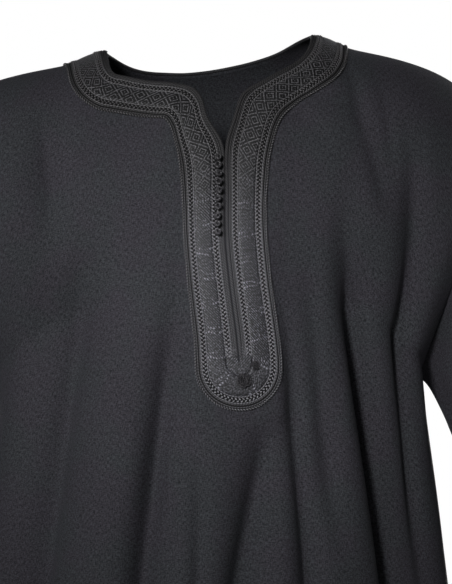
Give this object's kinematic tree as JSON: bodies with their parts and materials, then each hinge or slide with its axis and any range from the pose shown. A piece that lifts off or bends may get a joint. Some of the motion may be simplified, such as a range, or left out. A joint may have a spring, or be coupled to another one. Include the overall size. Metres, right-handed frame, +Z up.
{
  "type": "djellaba",
  "caption": "Long loose robe with wide sleeves, a notched round neck and a slit closed by knot buttons, edged with a braided trim.",
  "frame": {"origin": "midway between the two shoulder points of the neckline, where the robe hangs on the shoulders", "axes": "+Z up towards the neck, -Y out of the front, +X to the viewer's right"},
  "size_m": [0.7648, 0.368, 1.3514],
  "materials": {
    "cloth": "charcoal plain weave with a faint melange, soft and slightly smooth",
    "cord": "fine twisted black cord",
    "braid": "black herringbone braid with a silky sheen",
    "band": "grey-black patterned ribbon with a silky sheen",
    "knot": "tight black cord knots, slightly glossy"
  },
  "bodies": {
    "root": {"front_panel": "cloth", "back_panel": "cloth", "sleeve_left": "cloth", "sleeve_right": "cloth", "cord_inner": "cord", "braid_inner": "braid", "band_woven": "band", "braid_outer": "braid", "cord_outer": "cord", "button_01": "knot", "button_02": "knot", "button_03": "knot", "button_04": "knot", "button_05": "knot", "button_06": "knot", "button_07": "knot", "button_08": "knot", "button_09": "knot", "button_10": "knot", "loop_01": "cord", "loop_02": "cord", "loop_03": "cord", "loop_04": "cord", "loop_05": "cord", "loop_06": "cord", "loop_07": "cord", "loop_08": "cord", "loop_09": "cord", "loop_10": "cord", "rosette_large": "knot", "rosette_small": "knot"}
  },
  "joints": []
}
